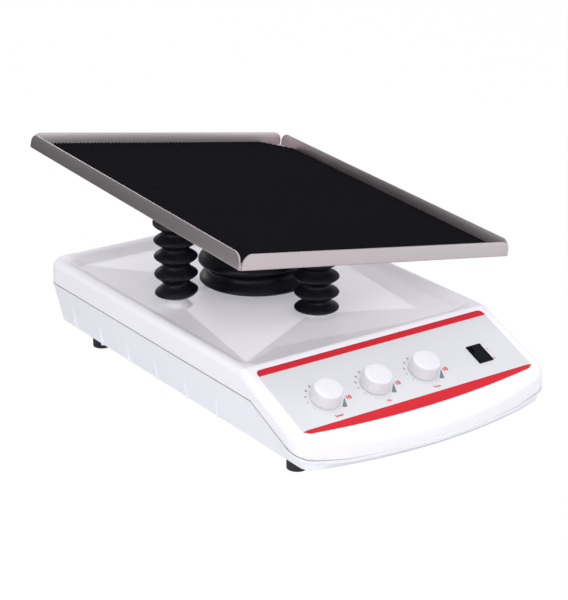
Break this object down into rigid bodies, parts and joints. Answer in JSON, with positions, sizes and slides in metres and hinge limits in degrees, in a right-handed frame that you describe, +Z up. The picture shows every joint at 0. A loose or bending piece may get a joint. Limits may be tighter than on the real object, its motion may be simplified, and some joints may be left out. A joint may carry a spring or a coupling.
{
  "type": "laboratory shaker",
  "caption": "Low moulded base with a sloping control panel; a lipped tray with a rubber mat rocks above it about two crossed axes, driven by push rods in bellows.",
  "frame": {"origin": "on the bench at the centre of the four feet", "axes": "+X to the right of the control panel, +Y to the back with the power inlet, +Z up; the tray stands tilted as it does at joint value 0"},
  "size_m": [0.2962, 0.4561, 0.2025],
  "materials": {
    "cover_plastic": "satin",
    "pan_plastic": "satin",
    "overlay_film": "satin",
    "foot_rubber": "matt",
    "screw_steel": "satin",
    "chassis_steel": "satin",
    "post_aluminium": "satin",
    "bush_bronze": "satin",
    "guide_acetal": "satin",
    "bellows_rubber": "gloss",
    "spider_steel": "satin",
    "pin_steel": "polished",
    "tray_steel": "satin",
    "mat_rubber": "matt",
    "bracket_steel": "satin",
    "rod_steel": "satin",
    "ball_steel": "polished",
    "cap_acetal": "satin",
    "pinion_brass": "satin",
    "motor_paint": "satin",
    "knob_plastic": "satin",
    "switch_plastic": "satin",
    "board_laminate": "satin",
    "inlet_plastic": "satin",
    "pot_metal": "satin"
  },
  "bodies": {
    "base": {"bottom_pan": "pan_plastic", "case_screws": "screw_steel", "centre_bellows": "bellows_rubber", "centre_post": "post_aluminium", "chassis_plate": "chassis_steel", "chassis_screws": "screw_steel", "circuit_board": "board_laminate", "feet": "foot_rubber", "foot_studs": "screw_steel", "front_bellows": "bellows_rubber", "front_gear_motor": "motor_paint", "front_motor_bracket": "chassis_steel", "guide_bushes": "guide_acetal", "inlet_pins": "pin_steel", "left_bellows": "bellows_rubber", "left_gear_motor": "motor_paint", "left_motor_bracket": "chassis_steel", "panel_overlay": "overlay_film", "post_bolts": "screw_steel", "post_bushes": "bush_bronze", "potentiometers": "pot_metal", "power_inlet": "inlet_plastic", "power_supply": "board_laminate", "supply_spacers": "guide_acetal", "switch_body": "switch_plastic", "top_cover": "cover_plastic"},
    "spider": {"spider": "spider_steel", "trunnion_pins": "pin_steel"},
    "tray": {"tray": "tray_steel", "mat": "mat_rubber", "tray_bracket": "bracket_steel", "tray_yoke": "bracket_steel", "yoke_bushes": "bush_bronze", "tray_screws": "screw_steel", "rod_sockets": "bracket_steel"},
    "left_rod": {"left_rack_rod": "rod_steel", "left_ball_stud": "ball_steel", "left_rod_cap": "cap_acetal"},
    "front_rod": {"front_rack_rod": "rod_steel", "front_ball_stud": "ball_steel", "front_rod_cap": "cap_acetal"},
    "left_pinion": {"left_pinion": "pinion_brass"},
    "front_pinion": {"front_pinion": "pinion_brass"},
    "speed_knob": {"speed_knob": "knob_plastic", "speed_shaft": "pin_steel"},
    "tilt_knob": {"tilt_knob": "knob_plastic", "tilt_shaft": "pin_steel"},
    "time_knob": {"time_knob": "knob_plastic", "time_shaft": "pin_steel"},
    "rocker": {"switch_rocker": "switch_plastic"}
  },
  "joints": [
    {"name": "tilt_x", "type": "hinge", "parent": "base", "child": "spider", "pos_m": [0, 0.0541, 0.1362], "axis": [1, 0, 0], "range_deg": [-14.82, 9.18], "deforming": ["centre_bellows"]},
    {"name": "tilt_y", "type": "hinge", "parent": "spider", "child": "tray", "pos_m": [0, 0.0541, 0.1362], "axis": [0, 0.9988, 0.0492], "range_deg": [-21.28, 2.72], "deforming": ["centre_bellows"]},
    {"name": "left_rod_slide", "type": "slide", "parent": "base", "child": "left_rod", "axis": [0, 0, 1], "range_m": [-0.0348, 0.00471], "deforming": ["left_bellows"]},
    {"name": "front_rod_slide", "type": "slide", "parent": "base", "child": "front_rod", "axis": [0, 0, 1], "range_m": [-0.01518, 0.02433], "deforming": ["front_bellows"]},
    {"name": "left_pinion_turn", "type": "hinge", "parent": "base", "child": "left_pinion", "pos_m": [-0.08105, 0.0541, 0.063], "axis": [0, 1, 0], "range_deg": [-331.49, 44.11]},
    {"name": "front_pinion_turn", "type": "hinge", "parent": "base", "child": "front_pinion", "pos_m": [0, -0.04845, 0.063], "axis": [1, 0, 0], "range_deg": [-144.14, 231.46]},
    {"name": "speed_knob_turn", "type": "hinge", "parent": "base", "child": "speed_knob", "pos_m": [-0.0837, -0.16786, 0.06266], "axis": [0, -0.3833, 0.9236], "range_deg": [-140, 140]},
    {"name": "tilt_knob_turn", "type": "hinge", "parent": "base", "child": "tilt_knob", "pos_m": [-0.0314, -0.16786, 0.06266], "axis": [0, -0.3833, 0.9236], "range_deg": [-140, 140]},
    {"name": "time_knob_turn", "type": "hinge", "parent": "base", "child": "time_knob", "pos_m": [0.0209, -0.16786, 0.06266], "axis": [0, -0.3833, 0.9236], "range_deg": [-140, 140]},
    {"name": "rocker_press", "type": "hinge", "parent": "base", "child": "rocker", "pos_m": [0.085, -0.16517, 0.05619], "axis": [1, 0, 0], "range_deg": [-18, 0]}
  ],
  "couplings": [
    {"joint": "left_rod_slide", "follows": "tilt_y", "m_per_rad": 0.0929},
    {"joint": "front_rod_slide", "follows": "tilt_x", "m_per_rad": -0.0929},
    {"joint": "left_pinion_turn", "follows": "tilt_y", "ratio": 15.483},
    {"joint": "front_pinion_turn", "follows": "tilt_x", "ratio": -15.483}
  ]
}
